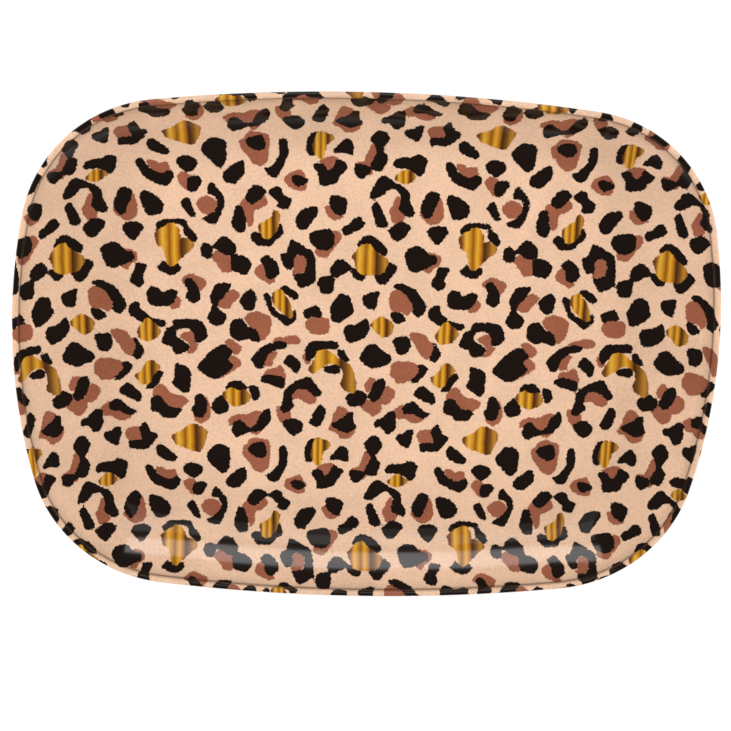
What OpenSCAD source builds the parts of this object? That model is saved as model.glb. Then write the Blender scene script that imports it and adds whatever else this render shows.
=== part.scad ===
// Shallow pressed tinplate serving tray with a rolled, wired rim.
// The tray lies flat with +Z up. The origin is on the underside of the floor,
// at the middle of the tray, with the long sides along X.
//
// The rim's outline is four bowed sides joined by four corner arcs, all tangent.
// Each piece is one cross-section carried round those eight arcs in turn.

/* [Tray outline] */
// Overall length, over the rolled rim
tray_l = 340; // [330:1:360]
// Overall width, over the rolled rim
tray_w = 252; // [245:1:270]
// Radius of the corners
corner_r = 71; // [64:0.5:74]
// How far a corner arc's centre lies from the middle, along the tray
corner_x = 93.5; // [88:0.5:95]
// How far a corner arc's centre lies from the middle, across the tray
corner_y = 49.5; // [44:0.5:51]

/* [Well] */
// Overall height, from the underside to the top of the rim
tray_h = 25; // [20:0.5:30]
// Slope of the wall above the floor
wall_angle = 42; // [35:1:55]
// Radius of the bend from the floor into the wall, on the printed face
floor_bend_r = 30; // [10:1:32]

/* [Sheet and rim] */
// Thickness of the tinplate
sheet_t = 0.3; // [0.25:0.01:0.4]
// Diameter of the wire in the rim
wire_d = 2.2; // [1.8:0.1:3]
// Play between the wire and the sheet rolled round it
wire_play = 0.05; // [0.02:0.01:0.1]
// Gap between the two butted ends of the wire
wire_gap = 0.5; // [0.2:0.1:2]
// Radius of the crease where the wall turns up into the rim
crease_r = 1; // [0.5:0.1:2]
// Height of the upright lip between the crease and the roll
lip_h = 0.8; // [0.4:0.1:2]
// How far the sheet is rolled round the wire
roll_angle = 305; // [270:5:310]

/* [Hidden] */
// Steps in a full turn round an arc's centre, and in the wire's section
sweep_fn = 360;
wire_fn = 48;

half_l = tray_l / 2;
half_w = tray_w / 2;

// A side's arc is tangent to the outline's box at its middle and to the corner
// arcs at its ends. Its centre lies on an axis of the tray, so the reach from
// there to a corner arc's centre follows from how far the corner is set in.
long_set_in = half_w - corner_r - corner_y;
short_set_in = half_l - corner_r - corner_x;
long_reach = (corner_x ^ 2 + long_set_in ^ 2) / (2 * long_set_in);
short_reach = (corner_y ^ 2 + short_set_in ^ 2) / (2 * short_set_in);
long_side_r = long_reach + corner_r;
short_side_r = short_reach + corner_r;

// Centres of the arcs in the +X +Y quarter
long_centre = [0, half_w - long_side_r];
short_centre = [half_l - short_side_r, 0];
corner_centre = [corner_x, corner_y];

// The planes in which the arcs meet run from a side arc's centre through the
// corner arc's centre
long_end = corner_centre - long_centre;
short_end = corner_centre - short_centre;

// Cross-section sizes. In a section X runs outwards from the rim's outer
// edge, so the tray is at negative X, and Y is the height.
roll_r = wire_d / 2 + wire_play + sheet_t;
roll_centre = [-roll_r, tray_h - roll_r];
lip_x = -2 * roll_r;
crease_centre = [lip_x - crease_r, roll_centre.y - lip_h];
wall_top = crease_centre + crease_r * [sin(wall_angle), -cos(wall_angle)];
wall_bottom_h = sheet_t + floor_bend_r * (1 - cos(wall_angle));
wall_rise = wall_top.y - wall_bottom_h;
floor_edge = wall_top.x - wall_rise / tan(wall_angle) - floor_bend_r * sin(wall_angle);
floor_bend_centre = [floor_edge, sheet_t + floor_bend_r];

// The swept section holds this much of the floor, and the plate that fills
// the middle has its corners this far inside the floor's edge
swept_floor = 12;
plate_inset = 2;

// Steps along the section's arcs
bend_step = 3;
crease_step = 8;
roll_step = 12.2;

// Points along an arc, in steps of about step degrees
function arc_points(centre, r, from_a, to_a, step) =
    let (steps = ceil(abs(to_a - from_a) / step))
    [for (i = [0 : steps])
        let (a = from_a + (to_a - from_a) * i / steps)
        centre + r * [cos(a), sin(a)]];

// The face of the sheet that is depth below the printed one, from the floor
// out to the cut edge
function face_points(depth) = concat(
    [[floor_edge - swept_floor, sheet_t - depth]],
    arc_points(floor_bend_centre, floor_bend_r + depth, -90, wall_angle - 90, bend_step),
    arc_points(crease_centre, crease_r + depth, wall_angle - 90, 0, crease_step),
    arc_points(roll_centre, roll_r - depth, 180, 180 - roll_angle, roll_step)
);

function reversed(points) = [for (i = [len(points) - 1 : -1 : 0]) points[i]];

// Cross-section of the pan, from the floor out to the roll
module pan_section() {
    polygon(concat(face_points(0), reversed(face_points(sheet_t))));
}

// Cross-section of the wire, at the middle of the roll
module wire_section() {
    translate(roll_centre)
        circle(d = wire_d, $fn = wire_fn);
}

// Carries a section round one arc, between two planes through its centre
module round_arc(centre, r, from_end, to_end) {
    intersection() {
        translate([centre.x, centre.y, 0])
            rotate_extrude($fn = sweep_fn)
                translate([r, 0])
                    children();
        translate([centre.x, centre.y, -1])
            linear_extrude(tray_h + 2)
                polygon([[0, 0], 2 * from_end, 2 * to_end]);
    }
}

// Carries a section round the whole outline
module round_outline() {
    for (side = [0, 1])
        mirror([0, side, 0])
            round_arc(long_centre, long_side_r, long_end, [-long_end.x, long_end.y])
                children();
    for (side = [0, 1])
        mirror([side, 0, 0])
            round_arc(short_centre, short_side_r, [short_end.x, -short_end.y], short_end)
                children();
    for (end = [0, 1], side = [0, 1])
        mirror([end, 0, 0])
            mirror([0, side, 0])
                round_arc(corner_centre, corner_r, short_end, long_end)
                    children();
}

// Pressed tinplate sheet: flat floor, flared wall and rolled rim
module pan() {
    // Corners of the plate, on the planes where the arcs meet
    plate_r = corner_r + floor_edge - plate_inset;
    long_corner = corner_centre + plate_r * long_end / long_reach;
    short_corner = corner_centre + plate_r * short_end / short_reach;
    quarter = [short_corner, long_corner];
    color([0.91, 0.79, 0.67]) {
        round_outline()
            pan_section();
        linear_extrude(sheet_t)
            polygon(concat(
                quarter,
                [for (p = reversed(quarter)) [-p.x, p.y]],
                [for (p = quarter) -p],
                [for (p = reversed(quarter)) [p.x, -p.y]]
            ));
    }
}

// Steel wire that stiffens the rim, its two ends butted behind one long side
module rim_wire() {
    color([0.62, 0.63, 0.65])
        difference() {
            round_outline()
                wire_section();
            translate([-wire_gap / 2, half_w - 2 * roll_r, 0])
                cube([wire_gap, 2 * roll_r, tray_h]);
        }
}

pan();
rim_wire();
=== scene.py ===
"""Shallow serving tray of printed tinplate, with a rolled and wired rim.

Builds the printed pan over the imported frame, finishes the wire in its rim, and
sets up the floor, the lights and the camera. Meshes are worked in millimetres
and scaled to metres at the end.
"""

from math import atan2, cos, hypot, pi, radians, sin

import bmesh
import bpy
import numpy as np
from mathutils import Matrix, Vector


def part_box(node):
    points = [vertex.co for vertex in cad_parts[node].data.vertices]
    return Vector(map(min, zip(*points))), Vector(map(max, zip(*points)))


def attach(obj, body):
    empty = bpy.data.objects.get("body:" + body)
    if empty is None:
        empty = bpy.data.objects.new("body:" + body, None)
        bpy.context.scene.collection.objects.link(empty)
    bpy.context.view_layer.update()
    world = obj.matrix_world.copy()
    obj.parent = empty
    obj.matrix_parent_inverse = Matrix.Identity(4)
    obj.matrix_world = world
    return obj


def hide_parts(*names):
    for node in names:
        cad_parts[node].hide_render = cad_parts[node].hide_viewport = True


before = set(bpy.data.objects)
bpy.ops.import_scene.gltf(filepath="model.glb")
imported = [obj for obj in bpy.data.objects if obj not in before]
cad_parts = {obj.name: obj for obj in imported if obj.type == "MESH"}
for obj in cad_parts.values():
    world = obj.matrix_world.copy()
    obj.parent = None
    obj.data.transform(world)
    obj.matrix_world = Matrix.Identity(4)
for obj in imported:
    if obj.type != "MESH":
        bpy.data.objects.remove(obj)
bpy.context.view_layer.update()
PAN_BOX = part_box("pan")

bl_info = {
    "name": "Printed Tinplate Tray",
    "version": (1, 0, 0),
    "blender": (4, 5, 0),
    "location": "View3D > Sidebar > Tray",
    "description": "Builds a printed tinplate serving tray and its stage",
    "category": "Add Mesh",
}

MM = 0.001

# The print repeats in a tile of this width and height, in millimetres
TILE = (148.1, 156.8)

# How far from an ink's edge its distance is still kept, in millimetres
FADE = 3.0

# Painted shade darkens the print down the wall and most in the crease below the lip.
# These lie on the sheet, in millimetres outwards from the floor's edge.
SHADE_START = 37.5
CREASE_SHADE_START = 42.2
CREASE_SHADE_DARKEST = (43.3, 43.6)
CREASE_SHADE_END = 44.6

# Spacing of the stations round the rim, and the gap under which points are
# joined, in millimetres
STATION = 1.7
WELD = 0.05

# Rings of faces on the two sides of the floor, and the length of the line that
# they close on, against the floor's own
UPPER_RINGS = 58
LOWER_RINGS = 6
SPINE = 0.335

# Colours of the room along the horizon and above it, and the heights between
# which one turns into the other
HORIZON = (0.85, 0.85, 0.85)
OVERHEAD = (0.20, 0.14, 0.115)
HORIZON_TOP = (0.03, 0.12)

# Ink outlines within one tile, in millimetres from its middle. Each is a few
# points that a smooth closed curve runs through. Brown is printed first, then
# black, then the brown middles, and gold last.
BROWN = [
    [(-63, 70), (-60, 73), (-52, 75), (-49.5, 71), (-53, 68), (-56, 67), (-56.5, 61.5),
     (-58.5, 59), (-61, 65)],
    [(-77, 44), (-74, 47.5), (-70, 46), (-67, 43.5), (-66.5, 38), (-68, 36.5), (-71.5, 36.5),
     (-74, 40)],
    [(-56, 37), (-54, 40), (-50, 41), (-47, 35), (-46, 32), (-49, 31), (-54.5, 34)],
    [(-84, 70), (-81.5, 73), (-78, 73.8), (-75, 72), (-73.5, 70), (-74, 67), (-77, 65), (-80, 65),
     (-82.5, 67)],
    [(-75, 20), (-70, 26), (-67, 28), (-63, 25), (-67, 20.5), (-68, 18.5), (-71, 18), (-74, 19)],
    [(-20, 57), (-15, 57.5), (-13.5, 54.5), (-16.5, 50), (-20, 45), (-22.5, 44.5), (-25.5, 45.5),
     (-26, 49)],
    [(13, 75), (14.5, 75), (16, 71), (17, 65), (15.5, 62), (11.5, 62), (9.5, 67.5), (11, 70),
     (12, 73)],
    [(-22, 69), (-20.5, 70), (-16, 69), (-12, 65.5), (-14, 64), (-17.5, 63), (-20.5, 65.5)],
    [(28, 47.5), (33, 46.7), (35.5, 45), (34.5, 41.5), (32, 40), (30, 37), (28, 38), (26.5, 40)],
    [(10.5, 25.5), (12, 28), (15, 29), (19, 27.5), (22.5, 22), (22, 18), (19.5, 15.5), (17, 17.5),
     (13, 17), (11, 20)],
    [(-31, 11), (-30, 13), (-27, 14.7), (-23, 14.3), (-19.5, 13), (-18.8, 9.5), (-20, 6),
     (-27, 5.5), (-30, 8)],
    [(12, -13), (12.8, -9.5), (15, -8), (21, -8.3), (26, -10), (27.5, -13), (23, -18),
     (17, -19.5), (15.3, -19.3), (13.5, -17), (12, -16)],
    [(21, 6.5), (25, 6.8), (29, 5.5), (30.5, 2.5), (33, 1.5), (34, -2), (32.5, -6), (29.5, -6.8),
     (27, -4.5), (23.5, 1), (21.5, 3.5)],
    [(-32.5, -6), (-31, -4), (-28, -7), (-28.5, -10), (-31, -9.5)],
    [(-38, -29), (-38, -25.5), (-34, -22), (-29, -22.5), (-25, -26), (-25.7, -30), (-29, -31),
     (-31.5, -29.5), (-34, -28)],
    [(-45.5, -34), (-45, -32.5), (-42, -33), (-38.5, -35), (-38, -38), (-39.5, -41),
     (-42.5, -41.5), (-44.5, -38.5)],
    [(-61, 13), (-58.5, 16), (-55, 16.8), (-50, 15), (-47.7, 12.5), (-48.5, 6.5), (-50.5, 3),
     (-53.5, 2), (-57, 7)],
    [(-71, 1), (-69, 2.7), (-66.5, 1.5), (-62.7, -1.5), (-64, -5), (-66.5, -5.3), (-69, -2)],
    [(-71, -8), (-67, -6), (-65, -7), (-62.8, -10.5), (-67, -14), (-73, -17.8), (-71, -13)],
    [(-47.5, 1), (-45, 3.3), (-42, 3.5), (-38.5, 4.5), (-35, 4.3), (-33.3, 2), (-35, 0.3),
     (-41, 0)],
    [(-50, -5), (-47.5, -4), (-44.5, -4), (-46.8, -8), (-47.5, -11), (-51, -11.7), (-53, -9)],
    [(-51.5, -16), (-49.5, -13), (-46, -12.5), (-43.5, -10.7), (-42, -12.5), (-40.3, -17.5),
     (-44, -19)],
    [(50, 19.5), (52, 22), (54, 24.3), (56.2, 21.5), (54.5, 18.5), (52, 17.3), (50, 17.8)],
    [(56, 31.5), (58, 34), (61, 35.5), (65, 34), (68, 32.5), (68, 30), (65.5, 26.5), (61, 28)],
    [(66, -27.5), (68.5, -30), (69.8, -35.5), (68.5, -39.5), (65, -42), (62, -40.5), (61.3, -38)],
    [(40.5, -27), (42, -23.3), (44.5, -21.3), (46.8, -22.3), (49.3, -26), (52, -27), (56, -27.7),
     (58.3, -30), (56, -33), (53, -35), (45, -33)],
    [(14, -34.5), (18.5, -31), (21, -33), (28, -36.5), (29.5, -39), (25, -40.8), (21.5, -39.8),
     (20, -38), (16.5, -38.5)],
    [(26.2, -47.5), (28, -45), (31, -44.3), (34.5, -44.5), (36, -49), (33, -52), (28.5, -51.5),
     (27, -50)],
    [(41, -67), (42.5, -65.5), (45, -66.2), (46.5, -67.5), (49, -67), (51.3, -67.5), (52, -71),
     (49, -73), (44, -71.5)],
    [(55, -74.5), (58, -71.5), (61.5, -73), (62, -77), (61, -81.5), (58.5, -79.5)],
    [(24, 66.5), (28, 62.3), (31, 61.3), (34.3, 62.7), (36, 66), (35.3, 71.5), (33.5, 75),
     (27, 70)],
    [(-69.5, -40), (-67, -38), (-64.5, -37), (-60, -37.3), (-56, -35), (-53, -35.5), (-53, -39),
     (-58, -44.5), (-65, -42), (-69, -43)],
    [(-58, -47), (-55, -47.7), (-52.5, -45.5), (-55, -44)],
    [(-62.5, -54.5), (-60.5, -53.5), (-59.5, -51), (-57.5, -49.7), (-54, -49.7), (-48.5, -52),
     (-49, -62), (-49.7, -66), (-53, -68.3), (-57, -66.5), (-59, -63), (-62, -59.5)],
    [(-41.5, -75), (-40, -72), (-37, -70.7), (-33.5, -69.5), (-30.5, -74), (-31, -79),
     (-35, -79.7), (-39.5, -77.5)],
    [(-25.5, -66), (-23, -64), (-19, -62.8), (-15.5, -64), (-17, -69), (-20.5, -71), (-23, -68)],
    [(-18.8, -44.5), (-17.5, -41), (-16, -36), (-14, -32.2), (-10, -33.5), (-7, -38), (-5, -43),
     (-6, -47), (-9, -49.3), (-12.5, -49.2), (-14.5, -46.5)],
    [(-1, -21.5), (1.5, -16.8), (4.5, -17.5), (5, -21), (1, -24.5)],
    [(7.5, -26), (9.5, -21.5), (12, -21.7), (14.5, -24), (14.3, -26.5), (12.5, -29.5), (9.5, -31),
     (6.5, -29)],
    [(-3, -31.5), (0, -28.5), (6, -28.5), (8, -33), (6.5, -35.5), (3.5, -37.5), (-1, -34)],
    [(-7.7, -67), (-6, -65.5), (-3.5, -65.5), (-2, -62), (0, -56.5), (3, -56), (3, -62), (1, -70),
     (-0.5, -72), (-4, -69)],
]
BLACK = [
    [(-60, 74.5), (-56.5, 79), (-53, 79), (-50, 76.5), (-53.5, 72.5), (-56.5, 70), (-60, 72)],
    [(-66, 65), (-65, 69), (-62, 69), (-60, 61.5), (-60.5, 57), (-63, 56), (-65, 57), (-67, 60.5)],
    [(-49.5, 76), (-45.5, 79), (-43, 78), (-42, 75), (-38, 72.5), (-40, 68), (-45, 69),
     (-44.5, 71.5)],
    [(-58, 54), (-56.5, 56.5), (-50, 56), (-43.5, 61), (-42, 55.5), (-45.5, 53), (-48, 50),
     (-54.5, 50)],
    [(-36, 63), (-32.5, 68), (-26, 69.5), (-25, 66.5), (-30.5, 58.5), (-33, 58), (-35, 59)],
    [(-82, 45), (-81.6, 50), (-78.5, 51), (-76.5, 49), (-72, 54), (-68.5, 53.5), (-65, 49.5),
     (-65.5, 45.5), (-70, 45), (-75.5, 48), (-77, 44), (-79, 43)],
    [(-67, 45.5), (-60, 44), (-57.5, 40.5), (-60, 35.5), (-63.5, 36), (-67, 37.5)],
    [(-53, 42.5), (-50.5, 45), (-48.5, 44.5), (-44.5, 40.5), (-44, 36), (-48, 33), (-50.5, 35),
     (-51, 39)],
    [(-43, 45.5), (-40, 47), (-38, 53), (-31.5, 49.5), (-27, 46.5), (-26, 34), (-28, 31),
     (-33.5, 29), (-37, 35), (-37, 38.5), (-40, 38), (-42.5, 42)],
    [(-78.5, 75), (-78, 79), (-76, 80.5), (-71, 74), (-70.7, 69), (-74.5, 60.5), (-79, 61),
     (-81.6, 62.3), (-75.5, 66), (-73.3, 70), (-75, 74)],
    [(-78, 24), (-75, 30), (-72, 31), (-67.5, 30.5), (-70, 25.5), (-74, 21), (-74, 18.2),
     (-70, 14), (-72, 10), (-76, 9.3), (-79.5, 13), (-76.8, 19)],
    [(-63.5, 22.5), (-61, 26), (-58, 28), (-55.5, 26), (-55, 23.5), (-56, 18.5), (-58, 17),
     (-61, 18)],
    [(-51.5, 24.5), (-50, 26.3), (-48, 24), (-47, 19), (-42, 15), (-36, 17.5), (-35.5, 13),
     (-40, 9.5), (-43, 12), (-48, 16)],
    [(-44, 27.5), (-41.5, 30), (-37, 28), (-34, 24.5), (-36.5, 23), (-40, 25.5)],
    [(-29.5, 54.5), (-28, 57), (-19.5, 58.5), (-17, 54.5), (-17.5, 50.5), (-20.5, 48),
     (-25, 48.5), (-28, 51)],
    [(0, 74), (0.3, 77), (4, 83.3), (7, 84.8), (13, 81), (16.5, 79.5), (19, 76.5), (19.5, 72),
     (21.8, 67.5), (20.5, 65), (17, 65.8), (14, 69), (15, 72), (14.3, 76), (12, 78.6), (9, 78.2),
     (5, 74.5), (2, 73.8)],
    [(-19.5, 74.5), (-16, 75), (-11, 72.5), (-12, 66.5), (-14.5, 65), (-17.5, 67), (-19.5, 70)],
    [(-13.3, 57), (-13, 59.5), (-10, 60.8), (-7.5, 64), (-4.5, 64.5), (-2.2, 60.8), (-5, 58.5),
     (-11.5, 55.2)],
    [(0.8, 69), (2, 71.5), (4, 71.5), (9, 61), (5, 59.5), (3, 61), (2, 65)],
    [(9.3, 58.5), (14, 62.3), (17.5, 62), (20.5, 59.5), (14.7, 53), (11, 54.5)],
    [(-6, 50.5), (-3.5, 54.5), (0.5, 55.5), (5, 53), (9.3, 48.5), (7.5, 45.5), (2, 48), (-3.5, 49)],
    [(-9.5, 39), (-7, 34.5), (-4.5, 33), (-2.5, 33.5), (-1, 35.5), (-4, 39)],
    [(2.5, 36.5), (5, 31.7), (8.5, 31.7), (14, 39.5), (10, 42.5), (6, 38)],
    [(-19, 38), (-16, 43), (-12.5, 43.5), (-8.5, 39), (-16, 34.5)],
    [(-25, 31), (-24, 34), (-20, 35.3), (-17, 34.5), (-17.2, 28), (-19, 26.3), (-23, 26.5)],
    [(17.5, 46.5), (19.5, 49.5), (25, 50.5), (29.5, 46.5), (33, 45.5), (33.5, 42.5), (28, 39.5),
     (23.5, 37.8), (20.5, 38.5), (18.8, 41.5)],
    [(12.5, 30), (14, 31.7), (18, 31.3), (24, 28), (29, 20.5), (28, 17.5), (25.5, 14.8), (22, 17),
     (22.5, 20.5), (18.5, 26.7)],
    [(-3, 24), (-1.5, 26), (3, 27.5), (5.5, 27.5), (4.5, 21.5), (3.5, 18.4), (-1, 20)],
    [(-18.8, 19), (-14.5, 26), (-12, 26), (-9, 24.5), (-8, 20.5), (-7, 17), (-14, 11.5),
     (-17.5, 12.5)],
    [(-32, 16.5), (-31, 18), (-25, 20), (-22.5, 14.5), (-28, 14.5), (-30, 12.7)],
    [(-11.8, 8), (-11.5, 5), (-9, 1.2), (-4.5, 2.5), (-1, 4.5), (1, 9), (0, 13), (-1.5, 13.8),
     (-6, 10.5), (-9.5, 10.5)],
    [(11.5, 16), (12, 17.5), (16.5, 16.5), (19, 13.5), (15.5, 11.3), (13, 12.5)],
    [(12.7, 3), (15, 4.5), (20.5, 4.5), (21.7, 0), (19, -4.5), (15, -4), (14, -1)],
    [(-3.8, -6.5), (0, 0), (2.5, 0.8), (5, 0), (8, -3), (12, -5.5), (12, -9), (4, -12), (-1, -10)],
    [(26, -10), (29, -10), (31, -12.5), (25.5, -19), (21.2, -19), (24, -16.5), (26.5, -13)],
    [(32, 2), (33.5, 2), (37, -3.5), (36, -7), (34, -8.5), (31.5, -6.8), (33.5, -1)],
    [(-31, -2.5), (-28, 1.5), (-19, 2), (-15, 1.5), (-14.7, -2), (-20, -2.3), (-26, -6),
     (-30, -8.5)],
    [(-15, -4), (-14, -2.5), (-11.5, -3), (-8.7, -8.5), (-13, -8.5)],
    [(-22.5, -12), (-16, -10), (-13.3, -11.5), (-13.7, -14.7), (-19.5, -14.5)],
    [(-43.5, -34), (-41.8, -29), (-41.5, -24), (-35, -18.8), (-28.5, -16.8), (-25.5, -21),
     (-22.5, -25.5), (-25, -27.5), (-30, -23.5), (-34, -23), (-37, -25.5), (-37.5, -29.5),
     (-36.2, -32.5), (-41, -36)],
    [(-68, 10.5), (-66, 12.5), (-62.5, 13), (-59.5, 9), (-55, 7), (-53.5, 2.5), (-55, 0.8),
     (-60, 2.8), (-64.5, 1.5), (-68.3, 5)],
    [(-84.8, -12.5), (-78.6, -4.5), (-73, -0.5), (-70.5, -0.5), (-67, -4.5), (-69.5, -8),
     (-67, -12), (-74.5, -18), (-79, -17.5)],
    [(-57.8, -7.5), (-51, -0.5), (-43.5, 1.5), (-39.8, 0), (-41, -2), (-46, -3), (-50, -6),
     (-52, -12), (-54.5, -12.7)],
    [(-41.5, -9.5), (-39.5, -5.2), (-37.5, -5.5), (-33, -10), (-35, -15.5), (-38.5, -12)],
    [(-53, -17.5), (-50, -15.7), (-43, -17), (-41, -18.5), (-42, -23), (-52.5, -19.5)],
    [(-70.5, -22.5), (-68, -19.5), (-63, -19.3), (-60, -23), (-63.5, -25.5), (-70, -25)],
    [(-59, -22.5), (-57.5, -21.5), (-54.5, -22.5), (-53.5, -26), (-54.5, -28.5), (-57, -29.3)],
    [(-78, -32), (-73, -26.7), (-69.3, -32), (-69.5, -34.8), (-72, -36.6), (-76, -36.5)],
    [(39.2, 26), (41.5, 28.7), (45, 27.8), (46.7, 25.7), (51.5, 27.7), (54.3, 26), (52, 20.7),
     (48, 18.9), (42, 19.1), (39.7, 21)],
    [(57.8, 31), (59, 32.8), (61.3, 32.8), (65.3, 27), (65, 22.3), (62, 20.5), (58.5, 23),
     (59.3, 27.5)],
    [(30.2, 15.5), (30.5, 19), (33, 20.8), (35.5, 20.5), (36, 17.5), (41, 13), (48.5, 11),
     (46, 8), (38.5, 12), (37, 10), (31.5, 13.5)],
    [(42, -14.5), (45, -14.5), (46.5, -16), (41.5, -23.5), (37.5, -23.7), (40, -19)],
    [(46, 1), (48.5, 7.5), (51.5, 8.5), (52, 11.5), (54, 12.3), (64.5, 12), (68, 8), (68.5, 3.5),
     (65, 0.5), (62.3, 0.5), (62, 5), (60, 7.3), (57, 8), (53.5, 6.5), (53.5, 3), (59.5, -1),
     (58.5, -4), (55, -5.5), (52, -5), (51, -2), (47, -0.5)],
    [(52, -12), (53, -10.8), (57.5, -12), (60, -15), (59.5, -24), (57, -26.2), (50.5, -21),
     (52, -18)],
    [(39.5, -35), (40, -29), (42, -27.5), (44.5, -28), (48.5, -33), (55, -34.5), (52, -39),
     (45.5, -39), (43.5, -36.5)],
    [(24, -24.5), (28.5, -20.8), (34.5, -26), (35, -29.5), (33, -30.6), (25, -26.5)],
    [(60, -35), (61.5, -32), (62, -27.5), (64, -26.3), (66.5, -27.5), (68, -32), (66, -38.5),
     (62.5, -38.8)],
    [(18.5, -33), (20.5, -30.5), (24, -29.3), (28.5, -33.8), (33.2, -36), (28.5, -38),
     (24.5, -35.8), (20, -35.8)],
    [(28, -52), (29, -57.5), (30, -56), (37, -56), (42.5, -49.5), (41.5, -47.5), (39.5, -47),
     (36.7, -41.5), (33.3, -45), (35, -51)],
    [(41.5, -56), (44, -53), (50, -58), (52.3, -60.5), (51, -62.7), (48, -62.5), (43, -60)],
    [(35.7, -66.5), (37, -64.7), (39, -65), (43, -70.5), (48, -72.5), (52, -70.7), (53.7, -74),
     (49.5, -78.5), (39.5, -74)],
    [(55, -66), (57, -64), (60, -63.2), (64.5, -65), (65.3, -68), (60.5, -72), (56, -68.5)],
    [(60, -76), (61, -74.3), (65, -73.3), (67.3, -75.5), (64.5, -80.3), (62, -81.3), (60, -79.5)],
    [(-80.5, -58.5), (-76.5, -53.5), (-73, -53.3), (-69, -56), (-69.5, -66), (-73, -69.3),
     (-80, -62)],
    [(24.7, 70), (28, 77), (31, 77.7), (33.7, 75.5), (30.3, 66), (28, 64), (25.8, 66)],
    [(37, 73), (38, 75.5), (40, 75.8), (44.5, 74), (48.5, 69.7), (47, 65), (41, 64), (38, 69.5)],
    [(28, 58), (30, 60), (33.5, 60.8), (37.5, 60), (38.3, 57.5), (33.5, 51.3), (29, 55.5)],
    [(57, 71), (59.5, 73), (61, 72), (64, 64), (62.5, 63.5), (60.5, 64.5), (57, 69.5)],
    [(44.7, 57), (44.8, 60), (49, 62.3), (58.5, 62), (60, 59), (62, 57), (64.5, 53), (62, 51),
     (58, 55.5), (58, 59), (53, 60), (46.5, 56.5)],
    [(44.8, 38.5), (48, 41.8), (50, 40), (55, 40.5), (56.2, 38), (54, 35.5), (51, 34.7),
     (45, 37.3)],
    [(33.5, 37), (34, 40), (37, 40.3), (40, 39.8), (37.5, 34.5), (38, 30), (35, 28.5), (31, 31.5)],
    [(-68, -44.5), (-66.5, -41), (-64, -39.7), (-60, -43.5), (-56.5, -43.5), (-53, -36.5),
     (-49, -33.7), (-48, -40), (-53, -45.5), (-59, -46.5), (-65.5, -49.2), (-67.5, -47)],
    [(-42.5, -41.5), (-37.5, -38.7), (-33.5, -40), (-32, -42), (-32.5, -45.5), (-37, -48)],
    [(-28.5, -41), (-24.5, -32.5), (-22.5, -31.2), (-20.2, -35), (-22.5, -41.7), (-25, -43.5)],
    [(-59.8, -55.5), (-58, -53), (-52, -51.7), (-50.2, -57), (-51.5, -60), (-54.5, -60.3),
     (-58, -58.5)],
    [(-44, -55.5), (-42.5, -53.5), (-40.5, -54.2), (-39.8, -57), (-39.8, -63), (-44.5, -73),
     (-48.5, -73), (-51, -69.5), (-48, -68.5), (-44, -63)],
    [(-71.3, -73.5), (-69.5, -70.5), (-63.5, -66), (-61, -66), (-60.7, -72), (-65.5, -76.8),
     (-70, -76)],
    [(-38, -74), (-36.5, -72.3), (-33, -72.7), (-29.5, -75.3), (-35, -78)],
    [(-31, -58.7), (-30, -52.5), (-28, -50), (-22, -49), (-24.5, -53), (-27, -62), (-29.7, -62.3)],
    [(-27.5, -68), (-26, -66.5), (-23, -66.5), (-20.5, -70), (-18, -68.5), (-16.3, -64),
     (-10.8, -67.5), (-14.5, -72), (-16, -75.5), (-21.5, -77), (-24.5, -76.5), (-25, -72)],
    [(-18, -60), (-12.5, -53.5), (-10.5, -53.8), (-8.3, -57), (-9, -62), (-13.5, -60.8),
     (-16.5, -61.3)],
    [(-17, -41.5), (-11, -38), (-9, -35.5), (-6.5, -35.5), (-6.3, -40), (-4.8, -43.5),
     (-10, -46.5), (-16.5, -43)],
    [(-10.2, -27), (-8.5, -25.3), (-4, -23.3), (0.5, -26.5), (-1.5, -31), (-7.5, -32.3),
     (-9.7, -30)],
    [(0.5, -27), (2.5, -23.5), (4, -19), (8.3, -17.2), (9.7, -21), (6.5, -28), (3.5, -29.7)],
    [(4.2, -41.5), (5, -39.5), (8, -38.5), (11.7, -35), (15, -35.2), (15.3, -43), (13.5, -46),
     (10.8, -47), (8, -43), (5, -43.3)],
    [(15.5, -49), (16.5, -47), (20, -46.3), (21, -44.7), (24.5, -44.8), (23, -53), (21.5, -54.2),
     (17, -51.7)],
    [(-0.5, -53), (2.5, -48.3), (6, -48.3), (8.8, -53), (5.5, -59), (8, -63), (6, -69), (4, -70),
     (-0.5, -68), (3, -60)],
    [(-8, -68.5), (-7, -66.5), (-1, -67.5), (0, -70), (-4, -73.7), (-7, -72)],
    [(10.7, -66), (12, -64), (15, -63), (20, -63), (22, -61.3), (27, -63.5), (25.5, -71),
     (23, -72), (18, -68.5), (11.5, -68)],
]
BROWN_MIDDLES = [
    [(-37, 44), (-34.5, 45.5), (-31.5, 45), (-30.5, 42), (-31, 37.5), (-33.5, 36), (-37.5, 36),
     (-36.5, 40.5)],
    [(55, 3.5), (57.5, 5.5), (61, 6.3), (62.3, 4), (62.3, 0.5), (64.3, 0), (63, -3), (60.5, -5.3),
     (58, -5), (60, -2), (58.5, 1)],
]
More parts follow.
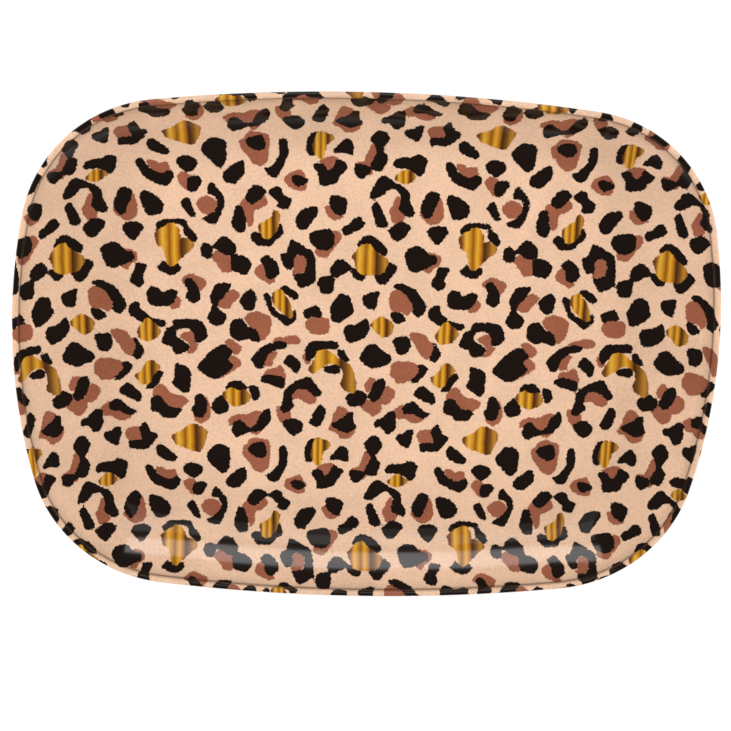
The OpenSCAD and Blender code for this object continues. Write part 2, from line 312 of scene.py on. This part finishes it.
GOLD = [
    [(-54, 59.5), (-52.5, 61), (-48, 64), (-46.5, 67.5), (-44.5, 67), (-43.5, 64.5),
     (-45.5, 56.5), (-50, 53), (-52.5, 54.5)],
    [(-47, 21), (-47.5, 25), (-46, 27.5), (-43, 28), (-40, 24), (-38, 20), (-37, 15),
     (-38.5, 13.5), (-43.5, 17)],
    [(-8.3, 45.5), (-4, 50.5), (0, 51.5), (3, 48), (9, 44), (9.5, 41), (6, 36.5), (-2, 36),
     (-5.5, 38), (-7, 42)],
    [(1, 10.5), (5, 14.5), (8, 14.5), (13, 11), (12, 6), (7.5, 4), (4.5, 7)],
    [(-29.5, -13), (-27, -8.5), (-24.5, -3.2), (-20, -2.5), (-14.5, -6.5), (-7.5, -11.5),
     (-5, -21), (-6, -25), (-9.5, -24.3), (-13, -21), (-11.7, -16), (-12.7, -12.5), (-15, -10),
     (-20, -10), (-26.5, -15)],
    [(-72.5, -26.5), (-70, -23.8), (-67.5, -22.8), (-64.5, -24.5), (-61, -24), (-58, -27),
     (-60, -31), (-66, -32.8), (-69, -31)],
    [(34, 6), (38, 12), (40, 12.5), (45.5, 7), (45, 4.5), (41.5, 1.3), (37.5, 1), (35, 2.5)],
    [(32.2, -17), (35.5, -14.5), (38, -10), (41, -9), (44.7, -12.5), (41, -17), (40, -20),
     (38, -21.7), (35, -21)],
    [(49.5, -48.5), (54.5, -46.5), (59, -42.5), (62, -42.5), (68, -46.5), (64.5, -57), (61, -57),
     (52, -53.3)],
    [(43.7, 55), (46, 57), (51.5, 60.2), (54, 59.5), (56, 56), (56, 53), (59, 53.3), (62.8, 49.3),
     (57, 43.5), (52, 38.8), (49.5, 40.5), (47.8, 48), (45, 49.5)],
    [(-28, -58.5), (-26, -51), (-24.5, -49), (-18.7, -51), (-17.7, -53.5), (-21.3, -57),
     (-23, -64.3), (-25.5, -63.5)],
    [(11.7, -72.5), (15, -69.5), (18, -69), (22.5, -72.3), (17.5, -75.8), (13, -74.5)],
]

# Stops of the gold's vertical bands, across one patch from left to right
GOLD_BANDS = (
    (0.00, (0.078, 0.023, 0.004)),
    (0.09, (0.187, 0.059, 0.007)),
    (0.20, (0.700, 0.380, 0.042)),
    (0.30, (0.490, 0.230, 0.016)),
    (0.38, (0.234, 0.079, 0.003)),
    (0.50, (0.690, 0.355, 0.026)),
    (0.58, (0.437, 0.172, 0.007)),
    (0.67, (0.047, 0.013, 0.003)),
    (0.78, (0.148, 0.059, 0.007)),
    (0.91, (0.437, 0.205, 0.024)),
    (1.00, (0.234, 0.099, 0.014)),
)


class TraySizes(bpy.types.PropertyGroup):
    """Sizes of the pan and of its rim."""
    length: bpy.props.FloatProperty(
        name="Length", description="Overall length over the rim",
        default=PAN_BOX[1].x - PAN_BOX[0].x, subtype="DISTANCE", unit="LENGTH")
    width: bpy.props.FloatProperty(
        name="Width", description="Overall width over the rim",
        default=PAN_BOX[1].y - PAN_BOX[0].y, subtype="DISTANCE", unit="LENGTH")
    height: bpy.props.FloatProperty(
        name="Height", description="From the underside to the top of the rim",
        default=PAN_BOX[1].z, subtype="DISTANCE", unit="LENGTH")
    corner_radius: bpy.props.FloatProperty(
        name="Corner radius", description="Radius of the rim's corners",
        default=0.071, subtype="DISTANCE", unit="LENGTH")
    corner_along: bpy.props.FloatProperty(
        name="Corner centre along", description="From the middle to a corner's centre, lengthwise",
        default=0.0935, subtype="DISTANCE", unit="LENGTH")
    corner_across: bpy.props.FloatProperty(
        name="Corner centre across", description="From the middle to a corner's centre, crosswise",
        default=0.0495, subtype="DISTANCE", unit="LENGTH")
    wall_angle: bpy.props.FloatProperty(
        name="Wall angle", description="Slope of the wall above the floor",
        default=radians(42), subtype="ANGLE", unit="ROTATION")
    wall_bow: bpy.props.FloatProperty(
        name="Wall bow", description="How much less steep the wall is at the bend than the wall angle",
        default=radians(6), subtype="ANGLE", unit="ROTATION")
    bend_radius: bpy.props.FloatProperty(
        name="Bend radius", description="Bend from the floor into the wall",
        default=0.030, subtype="DISTANCE", unit="LENGTH")
    sheet: bpy.props.FloatProperty(
        name="Sheet", description="Thickness of the tinplate",
        default=0.0003, subtype="DISTANCE", unit="LENGTH")
    roll_radius: bpy.props.FloatProperty(
        name="Roll radius", description="Outer radius of the sheet rolled round the wire",
        default=0.00145, subtype="DISTANCE", unit="LENGTH")
    roll_angle: bpy.props.FloatProperty(
        name="Roll angle", description="How far the sheet is rolled round the wire",
        default=radians(305), subtype="ANGLE", unit="ROTATION")
    crease_radius: bpy.props.FloatProperty(
        name="Crease radius", description="Crease where the wall turns up into the rim",
        default=0.001, subtype="DISTANCE", unit="LENGTH")
    lip: bpy.props.FloatProperty(
        name="Lip", description="Upright stretch between the crease and the roll",
        default=0.0008, subtype="DISTANCE", unit="LENGTH")


class TrayColours(bpy.types.PropertyGroup):
    """Colours of the inks and the metals, and how the print lies on the sheet."""
    ground: bpy.props.FloatVectorProperty(
        name="Ground", description="Pale ground of the print",
        default=(0.73, 0.505, 0.350), subtype="COLOR", size=3, min=0, max=1)
    brown: bpy.props.FloatVectorProperty(
        name="Brown", description="Brown ink",
        default=(0.29, 0.098, 0.053), subtype="COLOR", size=3, min=0, max=1)
    black: bpy.props.FloatVectorProperty(
        name="Black", description="Black ink",
        default=(0.0045, 0.0022, 0.0014), subtype="COLOR", size=3, min=0, max=1)
    tin: bpy.props.FloatVectorProperty(
        name="Tin", description="Bare lacquered tinplate",
        default=(0.60, 0.59, 0.56), subtype="COLOR", size=3, min=0, max=1)
    wire: bpy.props.FloatVectorProperty(
        name="Wire", description="Drawn steel wire",
        default=(0.42, 0.42, 0.43), subtype="COLOR", size=3, min=0, max=1)
    turn: bpy.props.FloatProperty(
        name="Print turn", description="How far the print is turned on the sheet",
        default=radians(0.56), subtype="ANGLE", unit="ROTATION")
    ragged: bpy.props.FloatProperty(
        name="Ragged edge", description="How far an ink's edge wanders",
        default=0.0018, subtype="DISTANCE", unit="LENGTH")


class StageSettings(bpy.types.PropertyGroup):
    """Floor, lights and camera."""
    floor: bpy.props.FloatVectorProperty(
        name="Floor", description="Colour of the floor",
        default=(0.26, 0.26, 0.26), subtype="COLOR", size=3, min=0, max=1)
    floor_glow: bpy.props.FloatProperty(
        name="Floor glow", description="Light that the floor gives of its own, as a lit table does",
        default=0.80, min=0)
    key: bpy.props.FloatProperty(
        name="Key light", description="Power of the softboxes that the varnish mirrors",
        default=0.85, unit="POWER")
    fill: bpy.props.FloatProperty(
        name="Fill lights", description="Power of the softboxes that light the tray all round",
        default=11.5, unit="POWER")
    distance: bpy.props.FloatProperty(
        name="Camera distance", description="From the camera to the middle of the rim",
        default=0.6071, subtype="DISTANCE", unit="LENGTH")
    lens: bpy.props.FloatProperty(
        name="Lens", description="Focal length of the camera",
        default=62.02, subtype="DISTANCE_CAMERA", unit="CAMERA")
    pitch: bpy.props.FloatProperty(
        name="Pitch", description="How far the camera leans over the tray's far side",
        default=radians(16.13), subtype="ANGLE", unit="ROTATION")
    yaw: bpy.props.FloatProperty(
        name="Yaw", description="How far the camera stands to one side",
        default=radians(1.91), subtype="ANGLE", unit="ROTATION")
    roll: bpy.props.FloatProperty(
        name="Roll", description="Turn of the camera about its own axis",
        default=radians(-1.23), subtype="ANGLE", unit="ROTATION")


class Number:
    """A socket that carries a number. Arithmetic on it adds Math nodes."""

    def __init__(self, shader, socket):
        self.shader = shader
        self.socket = socket

    def _math(self, operation, first, second):
        return self.shader.node("ShaderNodeMath", {"operation": operation}, {0: first, 1: second})

    def __add__(self, other):
        return self._math("ADD", self, other)

    __radd__ = __add__

    def __mul__(self, other):
        return self._math("MULTIPLY", self, other)

    __rmul__ = __mul__

    def __sub__(self, other):
        return self._math("SUBTRACT", self, other)

    def __rsub__(self, other):
        return self._math("SUBTRACT", other, self)


class Shader:
    """Node tree of a material or a world, and one way of adding nodes to it."""

    def __init__(self, owner):
        owner.use_nodes = True
        self.tree = owner.node_tree
        self.tree.nodes.clear()

    def node(self, kind, settings=None, inputs=None, output=0):
        """Adds a node and returns one of its outputs, named or numbered."""
        made = self.tree.nodes.new(kind)
        for name, value in (settings or {}).items():
            if name == "stops":
                self._set_stops(made.color_ramp, value)
            else:
                setattr(made, name, value)
        for name, value in (inputs or {}).items():
            socket = made.inputs[name]
            if isinstance(value, Number):
                self.tree.links.new(value.socket, socket)
            elif isinstance(value, tuple) and socket.type == "RGBA" and len(value) == 3:
                socket.default_value = (*value, 1)
            else:
                socket.default_value = value
        return Number(self, made.outputs[output]) if made.outputs else None

    def _set_stops(self, ramp, stops):
        while len(ramp.elements) < len(stops):
            ramp.elements.new(1)
        for element, (place, colour) in zip(ramp.elements, stops):
            element.position = place
            element.color = (*colour, 1)

    def noise(self, place, size, detail):
        """Noise whose lumps are about this size in metres, centred on zero."""
        made = self.node(
            "ShaderNodeTexNoise", {"noise_dimensions": "3D"},
            {"Vector": place, "Scale": 1 / size, "Detail": detail})
        return made - 0.5

    def mix(self, amount, first, second):
        """Blend of two colours."""
        return self.node(
            "ShaderNodeMix", {"data_type": "RGBA"},
            {"Factor": amount, 6: first, 7: second}, output=2)

    def tones(self, amount, colour, dark, light):
        """Runs from a darker to a lighter tone of one colour."""
        return self.mix(amount, tuple(dark * v for v in colour), tuple(light * v for v in colour))

    def step(self, value, low, high):
        """Runs smoothly from 0 to 1 while value runs from low to high."""
        return self.node(
            "ShaderNodeMapRange", {"interpolation_type": "SMOOTHSTEP"},
            {"Value": value, "From Min": low, "From Max": high})

    def attribute(self, name):
        """A number that is stored on the mesh's points."""
        return self.node("ShaderNodeAttribute", {"attribute_name": name}, output="Fac")


def rim_arcs(sizes):
    """Arcs of the rim's outer edge in order: centre, radius, start angle and sweep."""
    half_l, half_w = sizes.length / MM / 2, sizes.width / MM / 2
    corner = sizes.corner_radius / MM
    cx, cy = sizes.corner_along / MM, sizes.corner_across / MM
    long_in, short_in = half_w - corner - cy, half_l - corner - cx
    long_reach = (cx ** 2 + long_in ** 2) / (2 * long_in)
    short_reach = (cy ** 2 + short_in ** 2) / (2 * short_in)
    long_y, short_x = half_w - corner - long_reach, half_l - corner - short_reach
    short_half = atan2(cy, cx - short_x)
    long_half = atan2(cx, cy - long_y)
    corner_sweep = pi / 2 - short_half - long_half
    arcs = []
    for turn, x, y in ((0, cx, cy), (pi, -cx, -cy)):
        side = 1 if turn == 0 else -1
        arcs += [
            ((side * short_x, 0), short_reach + corner, turn - short_half, 2 * short_half),
            ((x, y), corner, turn + short_half, corner_sweep),
            ((0, side * long_y), long_reach + corner, turn + pi / 2 - long_half, 2 * long_half),
            ((-x, y), corner, turn + pi / 2 + long_half, corner_sweep),
        ]
    return arcs


class SectionLine:
    """A line of edges that grows from one vertex, in a section at X outwards and Z up."""

    def __init__(self, bm, start, printed):
        self.bm = bm
        self.across = bm.verts.layers.float.new("across")
        self.printed = bm.verts.layers.float.new("printed")
        self.tip = bm.verts.new((start[0], 0, start[1]))
        self.tip[self.printed] = printed

    def _tag(self, made, length, printed):
        start = self.tip[self.across]
        for i, vert in enumerate(made, 1):
            vert[self.across] = start + length * i / len(made)
            vert[self.printed] = printed
        self.tip = made[-1]

    def arc(self, centre, turn, steps, printed):
        """Turns the tip about a point, anticlockwise seen with X to the right and Z up."""
        count = len(self.bm.verts)
        reach = hypot(self.tip.co.x - centre[0], self.tip.co.z - centre[1])
        bmesh.ops.spin(
            self.bm, geom=[self.tip], cent=(centre[0], 0, centre[1]), axis=(0, -1, 0),
            angle=turn, steps=steps, use_merge=False)
        self.bm.verts.ensure_lookup_table()
        self._tag(self.bm.verts[count:], reach * abs(turn), printed)

    def line(self, end, steps, printed):
        """Carries the tip straight to a point."""
        start = self.tip.co.copy()
        step = (Vector((end[0], 0, end[1])) - start) / steps
        made = []
        tip = self.tip
        for _ in range(steps):
            tip = bmesh.ops.extrude_vert_indiv(self.bm, verts=[tip])["verts"][0]
            bmesh.ops.translate(self.bm, vec=step, verts=[tip])
            made.append(tip)
        self._tag(made, step.length * steps, printed)


def pan_section(bm, sizes):
    """Section of the sheet, from the printed floor's edge out round the roll and back below.

    Returns where the floor's edge lies, which is the distance inside the rim's outer edge.
    """
    sheet, roll = sizes.sheet / MM, sizes.roll_radius / MM
    bend, crease = sizes.bend_radius / MM, sizes.crease_radius / MM
    slope = sizes.wall_angle
    roll_centre = (-roll, sizes.height / MM - roll)
    crease_centre = (-2 * roll - crease, roll_centre[1] - sizes.lip / MM)
    wall_top = (crease_centre[0] + crease * sin(slope), crease_centre[1] - crease * cos(slope))
    wall_bottom_z = sheet + bend * (1 - cos(slope))
    wall_run = (wall_top[1] - wall_bottom_z) * cos(slope) / sin(slope)
    edge = wall_top[0] - wall_run - bend * sin(slope)
    bend_centre = (edge, sheet + bend)

    # The wall leaves the bend less steeply and bows up to the crease
    foot_slope = slope - sizes.wall_bow
    foot = (edge + bend * sin(foot_slope), bend_centre[1] - bend * cos(foot_slope))
    chord = hypot(wall_top[0] - foot[0], wall_top[1] - foot[1])
    chord_slope = atan2(wall_top[1] - foot[1], wall_top[0] - foot[0])
    half_turn = chord_slope - foot_slope
    wall_r = chord / (2 * sin(half_turn))
    wall_centre = (foot[0] - wall_r * sin(foot_slope), foot[1] + wall_r * cos(foot_slope))
    top_slope = chord_slope + half_turn
    under_top = (wall_top[0] + sheet * sin(top_slope), wall_top[1] - sheet * cos(top_slope))

    section = SectionLine(bm, (edge, sheet), 1)
    section.arc(bend_centre, foot_slope, 13, 1)
    section.arc(wall_centre, 2 * half_turn, 16, 1)
    section.arc(crease_centre, pi / 2 - slope, 4, 1)
    section.line((crease_centre[0] + crease, roll_centre[1]), 1, 1)
    section.arc(roll_centre, -sizes.roll_angle, 22, 1)

    inner = roll - sheet
    end = pi - sizes.roll_angle
    section.line((roll_centre[0] + inner * cos(end), roll_centre[1] + inner * sin(end)), 1, 0)
    section.arc(roll_centre, sizes.roll_angle, 16, 0)
    section.line((roll_centre[0] - inner, crease_centre[1]), 1, 0)
    section.arc(crease_centre, top_slope - pi / 2, 3, 0)
    section.line(under_top, 1, 0)
    section.arc(wall_centre, -2 * half_turn, 8, 0)
    section.arc(bend_centre, -foot_slope, 7, 0)
    return edge


def close_floor(bm, edges, rings, spine):
    """Fills one side of the floor with rings that shrink onto a line along X.

    The line is spine times as long as the floor.
    """
    for ring in range(rings):
        made = bmesh.ops.extrude_edge_only(bm, edges=edges)["geom"]
        verts = [g for g in made if isinstance(g, bmesh.types.BMVert)]
        fresh = set(verts)
        edges = [g for g in made if isinstance(g, bmesh.types.BMEdge) and fresh.issuperset(g.verts)]
        before, after = ring / rings, (ring + 1) / rings
        shrink_x = (1 - (1 - spine) * after) / (1 - (1 - spine) * before)
        shrink_y = (1 - after) / (1 - before)
        bmesh.ops.scale(bm, vec=(shrink_x, shrink_y, 1), verts=verts)
    bmesh.ops.remove_doubles(bm, verts=verts, dist=WELD / 5)


def sort_faces(bm):
    """Puts the faces in the order of their points, which is the same on every run."""
    bm.verts.index_update()
    far = 4 * len(bm.verts)

    def order(face):
        points = [vert.index for vert in face.verts]
        return min(points) * far + sum(points)

    bm.faces.sort(key=order)


def smooth_outline(points, steps=5, slack=0.3):
    """A closed curve through the points, as a polygon. With no slack it runs straight between them."""
    p = np.array(points, float)
    after = np.roll(p, -1, 0)
    leaving = slack * (after - np.roll(p, 1, 0))
    arriving = np.roll(leaving, -1, 0)
    rows = []
    for t in np.arange(steps) / steps:
        rows.append(
            (2 * t ** 3 - 3 * t ** 2 + 1) * p + (3 * t ** 2 - 2 * t ** 3) * after
            + (t ** 3 - 2 * t ** 2 + t) * leaving + (t ** 3 - t ** 2) * arriving)
    return np.stack(rows, 1).reshape(-1, 2)


def inside_distance(outline, places):
    """Distance of each place from a polygon's edge, positive inside it."""
    nearest = np.full(len(places), 1e9)
    inside = np.zeros(len(places), bool)
    for a, b in zip(outline, np.roll(outline, -1, 0)):
        run, rel = b - a, places - a
        along = np.clip(rel @ run / max(run @ run, 1e-12), 0, 1)
        nearest = np.minimum(nearest, np.hypot(*(rel - along[:, None] * run).T))
        if a[1] != b[1]:
            spans = (a[1] > places[:, 1]) != (b[1] > places[:, 1])
            inside ^= spans & (rel[:, 0] < rel[:, 1] * run[0] / run[1])
    return np.where(inside, nearest, -nearest)


def ink_distances(outlines, places):
    """How deep each place lies in the repeated outlines, and how far across its outline it is."""
    tile = np.array(TILE)
    best = np.full(len(places), -FADE)
    run = np.zeros(len(places))
    for points in outlines:
        outline = smooth_outline(points)
        low, high = outline.min(0), outline.max(0)
        middle = (low + high) / 2
        rel = (places - middle + tile / 2) % tile - tile / 2
        near = np.flatnonzero((np.abs(rel) < (high - low) / 2 + FADE).all(1))
        distance = np.clip(inside_distance(outline - middle, rel[near]), -FADE, FADE)
        better = distance > best[near]
        chosen = near[better]
        best[chosen] = distance[better]
        run[chosen] = rel[chosen, 0] / (high[0] - low[0]) + 0.5
    return best, run


def blank_places(mesh, arcs, edge):
    """Where each vertex lay on the flat sheet before it was pressed, in millimetres."""
    count = len(mesh.vertices)
    place = np.empty(3 * count)
    mesh.vertices.foreach_get("co", place)
    flat = place.reshape(-1, 3)[:, :2] / MM
    across = np.empty(count)
    mesh.attributes["across"].data.foreach_get("value", across)
    outside = across > 0
    result = flat.copy()
    for centre, radius, start, sweep in arcs:
        rel = flat - centre
        turned = (np.arctan2(rel[:, 1], rel[:, 0]) - start + 1e-6) % (2 * pi)
        reach = np.hypot(*rel.T)
        here = outside & (turned <= sweep + 2e-6) & (reach > radius + edge - 1)
        out = rel[here] / reach[here, None]
        result[here] = centre + out * (radius + edge + across[here])[:, None]
    return result


def add_print(mesh, arcs, edge, turn):
    """Stores how deep each vertex lies in each ink."""
    flat = blank_places(mesh, arcs, edge)
    c, s = cos(turn), sin(turn)
    places = flat @ np.array([[c, -s], [s, c]])
    brown, _ = ink_distances(BROWN, places)
    black, _ = ink_distances(BLACK, places)
    middles, _ = ink_distances(BROWN_MIDDLES, places)
    gold, gold_run = ink_distances(GOLD, places)
    layers = {
        "brown": np.maximum(brown, middles),
        "black": np.minimum(black, -middles),
        "gold": gold,
        "gold_run": gold_run,
    }
    for name, values in layers.items():
        layer = mesh.attributes.new(name, "FLOAT", "POINT")
        layer.data.foreach_set("value", values.astype(np.float32))


def printed_tin(colours):
    """Printed and varnished sheet on the upper face with painted shade at the crease, plain lacquered
    tin below.
    """
    material = bpy.data.materials.new("printed_tinplate")
    shader = Shader(material)
    place = shader.node("ShaderNodeTexCoord", output="Object")

    wander = shader.noise(place, 0.0012, 2) * (colours.ragged / MM)
    slow_wander = shader.noise(place, 0.0030, 1) * (0.5 * colours.ragged / MM)
    drift = wander + slow_wander
    brown = shader.step(shader.attribute("brown") + drift, -0.40, 0.05)
    black = shader.step(shader.attribute("black") + drift, -0.40, 0.0)
    gold = shader.step(shader.attribute("gold") + drift, -0.35, 0.05)

    mottle = shader.noise(place, 0.022, 3)
    grain = shader.noise(place, 0.0011, 3)
    tone = shader.step(mottle + 1.6 * grain, -0.5, 0.5)
    ground = shader.tones(tone, colours.ground, 0.88, 1.10)
    brown_ink = shader.tones(tone, colours.brown, 0.86, 1.14)
    bands = shader.node(
        "ShaderNodeValToRGB", {"stops": GOLD_BANDS},
        {"Fac": shader.attribute("gold_run") + shader.noise(place, 0.006, 2) * 0.06})
    ink = shader.mix(brown, ground, brown_ink)
    ink = shader.mix(black, ink, tuple(colours.black))
    ink = shader.mix(gold, ink, bands)

    # Painted shade: the print darkens softly down the wall and most in the crease between the wall and
    # the lip
    across = shader.attribute("across")
    darkest, leaving = CREASE_SHADE_DARKEST
    crease_shade = 0.48 * shader.step(across, CREASE_SHADE_START, darkest)
    shade = 0.16 * shader.step(across, SHADE_START, darkest)
    painted_shade = (crease_shade + shade) * (1 - shader.step(across, leaving, CREASE_SHADE_END))
    ink = shader.mix(painted_shade, ink, tuple(colours.black))

    printed = shader.step(shader.attribute("printed"), 0.4, 0.6)
    scuff = shader.noise(place, 0.012, 6)
    drawn_out = shader.node("ShaderNodeMapping", {}, {"Vector": place, "Scale": (0.02, 1.0, 1.0)})
    rolling = shader.noise(drawn_out, 0.0008, 3)
    tin = shader.tones(shader.step(scuff + rolling, -0.5, 0.5), colours.tin, 0.82, 1.12)
    colour = shader.mix(printed, tin, ink)

    peel = shader.noise(place, 0.0035, 1) * 0.010
    wave = shader.noise(place, 0.045, 1) * 0.22
    bump = shader.node(
        "ShaderNodeBump", {}, {"Height": peel + wave, "Distance": MM, "Strength": 1.0})
    surface = shader.node(
        "ShaderNodeBsdfPrincipled", {}, {
            "Base Color": colour,
            "Metallic": 1 - printed,
            "Roughness": 0.30 + 0.12 * printed + scuff * 0.12 + rolling * (0.2 - 0.2 * printed),
            "Normal": bump,
            "Coat Weight": 1.0,
            "Coat Roughness": 0.07,
            "Coat IOR": 1.5,
            "Specular IOR Level": 0.0,
        })
    shader.node("ShaderNodeOutputMaterial", {}, {"Surface": surface})
    return material


def drawn_wire(colours):
    """Drawn steel wire with faint lines along it and a dull oxide."""
    material = bpy.data.materials.new("drawn_steel_wire")
    shader = Shader(material)
    place = shader.node("ShaderNodeTexCoord", output="Object")
    stain = shader.step(shader.noise(place, 0.009, 4), -0.25, 0.25)
    lines = shader.noise(place, 0.0005, 3)
    colour = shader.tones(stain, colours.wire, 0.75, 1.1)
    bump = shader.node("ShaderNodeBump", {}, {"Height": lines, "Distance": 0.02 * MM, "Strength": 1.0})
    surface = shader.node(
        "ShaderNodeBsdfPrincipled", {}, {
            "Base Color": colour,
            "Metallic": 1.0,
            "Roughness": 0.38 + lines * 0.2,
            "Normal": bump,
        })
    shader.node("ShaderNodeOutputMaterial", {}, {"Surface": surface})
    return material


class TRAY_OT_pan(bpy.types.Operator):
    """Build the pressed and printed pan"""
    bl_idname = "tray.pan"
    bl_label = "Pan"

    def execute(self, context):
        sizes, colours = context.scene.tray_sizes, context.scene.tray_colours
        arcs = rim_arcs(sizes)
        bm = bmesh.new()
        edge = pan_section(bm, sizes)

        # The section starts on the rim's first joint and goes round every arc
        centre, radius, start, _ = arcs[0]
        bmesh.ops.translate(bm, vec=(radius, 0, 0), verts=bm.verts)
        bmesh.ops.rotate(bm, cent=(0, 0, 0), matrix=Matrix.Rotation(start, 3, "Z"), verts=bm.verts)
        bmesh.ops.translate(bm, vec=(*centre, 0), verts=bm.verts)
        carried = bm.verts[:] + bm.edges[:]
        for centre, radius, _, sweep in arcs:
            carried = bmesh.ops.spin(
                bm, geom=carried, cent=(*centre, 0), axis=(0, 0, 1), angle=sweep,
                steps=round(radius * sweep / STATION), use_merge=False)["geom_last"]
        bmesh.ops.remove_doubles(bm, verts=bm.verts, dist=WELD)

        rims = [e for e in bm.edges if e.is_boundary]
        upper = [e for e in rims if e.verts[0].co.z > sizes.sheet / MM / 2]
        lower = [e for e in rims if e.verts[0].co.z <= sizes.sheet / MM / 2]
        close_floor(bm, upper, UPPER_RINGS, SPINE)
        close_floor(bm, lower, LOWER_RINGS, SPINE)
        bmesh.ops.recalc_face_normals(bm, faces=bm.faces)
        bmesh.ops.scale(bm, vec=(MM, MM, MM), verts=bm.verts)
        sort_faces(bm)
        for face in bm.faces:
            face.smooth = True

        mesh = bpy.data.meshes.new("printed_pan")
        bm.to_mesh(mesh)
        bm.free()
        mesh.set_sharp_from_angle(angle=radians(40))
        add_print(mesh, arcs, edge, colours.turn)
        mesh.materials.append(printed_tin(colours))
        pan = bpy.data.objects.new("printed_pan", mesh)
        context.scene.collection.objects.link(pan)
        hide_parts("pan")
        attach(pan, "root")
        return {"FINISHED"}


class TRAY_OT_wire(bpy.types.Operator):
    """Finish the steel wire in the rim"""
    bl_idname = "tray.wire"
    bl_label = "Rim wire"

    def execute(self, context):
        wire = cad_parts["rim_wire"]
        material = drawn_wire(context.scene.tray_colours)
        if not wire.material_slots:
            raise RuntimeError("the rim wire has no material slot")
        for slot in wire.material_slots:
            slot.link = "OBJECT"
            slot.material = material
        return {"FINISHED"}


def softbox(scene, name, size, power, place, mirrored):
    """A rectangular light that faces the tray's middle, and shows in the varnish or not."""
    light = bpy.data.lights.new(name, "AREA")
    light.shape = "RECTANGLE"
    light.size, light.size_y = size
    light.energy = power
    lamp = bpy.data.objects.new(name, light)
    scene.collection.objects.link(lamp)
    lamp.location = place
    lamp.rotation_euler = Vector(place).to_track_quat("Z", "Y").to_euler()
    lamp.visible_glossy = mirrored


class TRAY_OT_stage(bpy.types.Operator):
    """Set up the floor, the lights and the camera"""
    bl_idname = "tray.stage"
    bl_label = "Stage"

    def execute(self, context):
        scene, settings = context.scene, context.scene.tray_stage
        bm = bmesh.new()
        bmesh.ops.create_circle(bm, cap_ends=True, segments=96, radius=6)
        mesh = bpy.data.meshes.new("floor")
        bm.to_mesh(mesh)
        bm.free()
        floor = bpy.data.objects.new("floor", mesh)
        scene.collection.objects.link(floor)
        material = bpy.data.materials.new("pale_floor")
        shader = Shader(material)
        surface = shader.node(
            "ShaderNodeBsdfPrincipled", {}, {
                "Base Color": tuple(settings.floor), "Roughness": 0.8, "Specular IOR Level": 0.1,
                "Emission Color": (1.0, 1.0, 1.0), "Emission Strength": settings.floor_glow})
        shader.node("ShaderNodeOutputMaterial", {}, {"Surface": surface})
        mesh.materials.append(material)

        # The room is pale along the horizon and dim above it
        world = bpy.data.worlds.new("room")
        shader = Shader(world)
        way = shader.node("ShaderNodeTexCoord", output="Generated")
        height = shader.node("ShaderNodeSeparateXYZ", {}, {"Vector": way}, output="Z")
        glow = shader.mix(shader.step(height, *HORIZON_TOP), HORIZON, OVERHEAD)
        background = shader.node("ShaderNodeBackground", {}, {"Color": glow, "Strength": 1.0})
        shader.node("ShaderNodeOutputWorld", {}, {"Surface": background})
        scene.world = world

        key, fill = settings.key, settings.fill
        softbox(scene, "key", (0.95, 0.16), 1.8 * key, (0.0, 0.965, 0.755), True)
        softbox(scene, "key_glow", (0.95, 0.34), key, (0.0, 0.82, 1.05), True)
        softbox(scene, "key_fade", (0.95, 0.34), 0.4 * key, (0.0, 0.52, 1.21), True)
        softbox(scene, "top_fill", (1.6, 0.8), 0.9 * fill, (0.0, 0.70, 1.25), False)
        softbox(scene, "left_fill", (0.9, 0.6), 0.95 * fill, (-1.3, 0.0, 0.60), False)
        softbox(scene, "right_fill", (0.9, 0.6), 0.95 * fill, (1.3, 0.0, 0.60), False)
        softbox(scene, "near_fill", (1.6, 0.5), 0.65 * fill, (0.0, -1.3, 0.70), False)

        camera = bpy.data.cameras.new("camera")
        camera.sensor_width = 36
        camera.lens = settings.lens
        camera.shift_x, camera.shift_y = -0.0039, -0.0097
        viewer = bpy.data.objects.new("camera", camera)
        scene.collection.objects.link(viewer)
        turn = (
            Matrix.Rotation(-settings.pitch, 4, "X")
            @ Matrix.Rotation(-settings.yaw, 4, "Y")
            @ Matrix.Rotation(-settings.roll, 4, "Z"))
        aim = Matrix.Translation((0, 0, PAN_BOX[1].z - scene.tray_sizes.roll_radius))
        viewer.matrix_world = aim @ turn @ Matrix.Translation((0, 0, settings.distance))
        scene.camera = viewer
        scene.view_settings.view_transform = "Standard"
        return {"FINISHED"}


class TRAY_PT_panel(bpy.types.Panel):
    """Lists the steps that build the tray"""
    bl_idname = "TRAY_PT_panel"
    bl_label = "Tray"
    bl_space_type = "VIEW_3D"
    bl_region_type = "UI"
    bl_category = "Tray"

    def draw(self, context):
        layout = self.layout
        for operator in (TRAY_OT_pan, TRAY_OT_wire, TRAY_OT_stage):
            layout.operator(operator.bl_idname)
        for group in (context.scene.tray_sizes, context.scene.tray_colours, context.scene.tray_stage):
            box = layout.box()
            for name in group.__annotations__:
                box.prop(group, name)


CLASSES = (
    TraySizes, TrayColours, StageSettings, TRAY_OT_pan, TRAY_OT_wire, TRAY_OT_stage, TRAY_PT_panel)


def register():
    for cls in CLASSES:
        bpy.utils.register_class(cls)
    bpy.types.Scene.tray_sizes = bpy.props.PointerProperty(type=TraySizes)
    bpy.types.Scene.tray_colours = bpy.props.PointerProperty(type=TrayColours)
    bpy.types.Scene.tray_stage = bpy.props.PointerProperty(type=StageSettings)


def unregister():
    del bpy.types.Scene.tray_stage
    del bpy.types.Scene.tray_colours
    del bpy.types.Scene.tray_sizes
    for cls in reversed(CLASSES):
        bpy.utils.unregister_class(cls)


def main():
    register()
    bpy.ops.tray.pan()
    bpy.ops.tray.wire()
    bpy.ops.tray.stage()


if __name__ == "__main__":
    main()
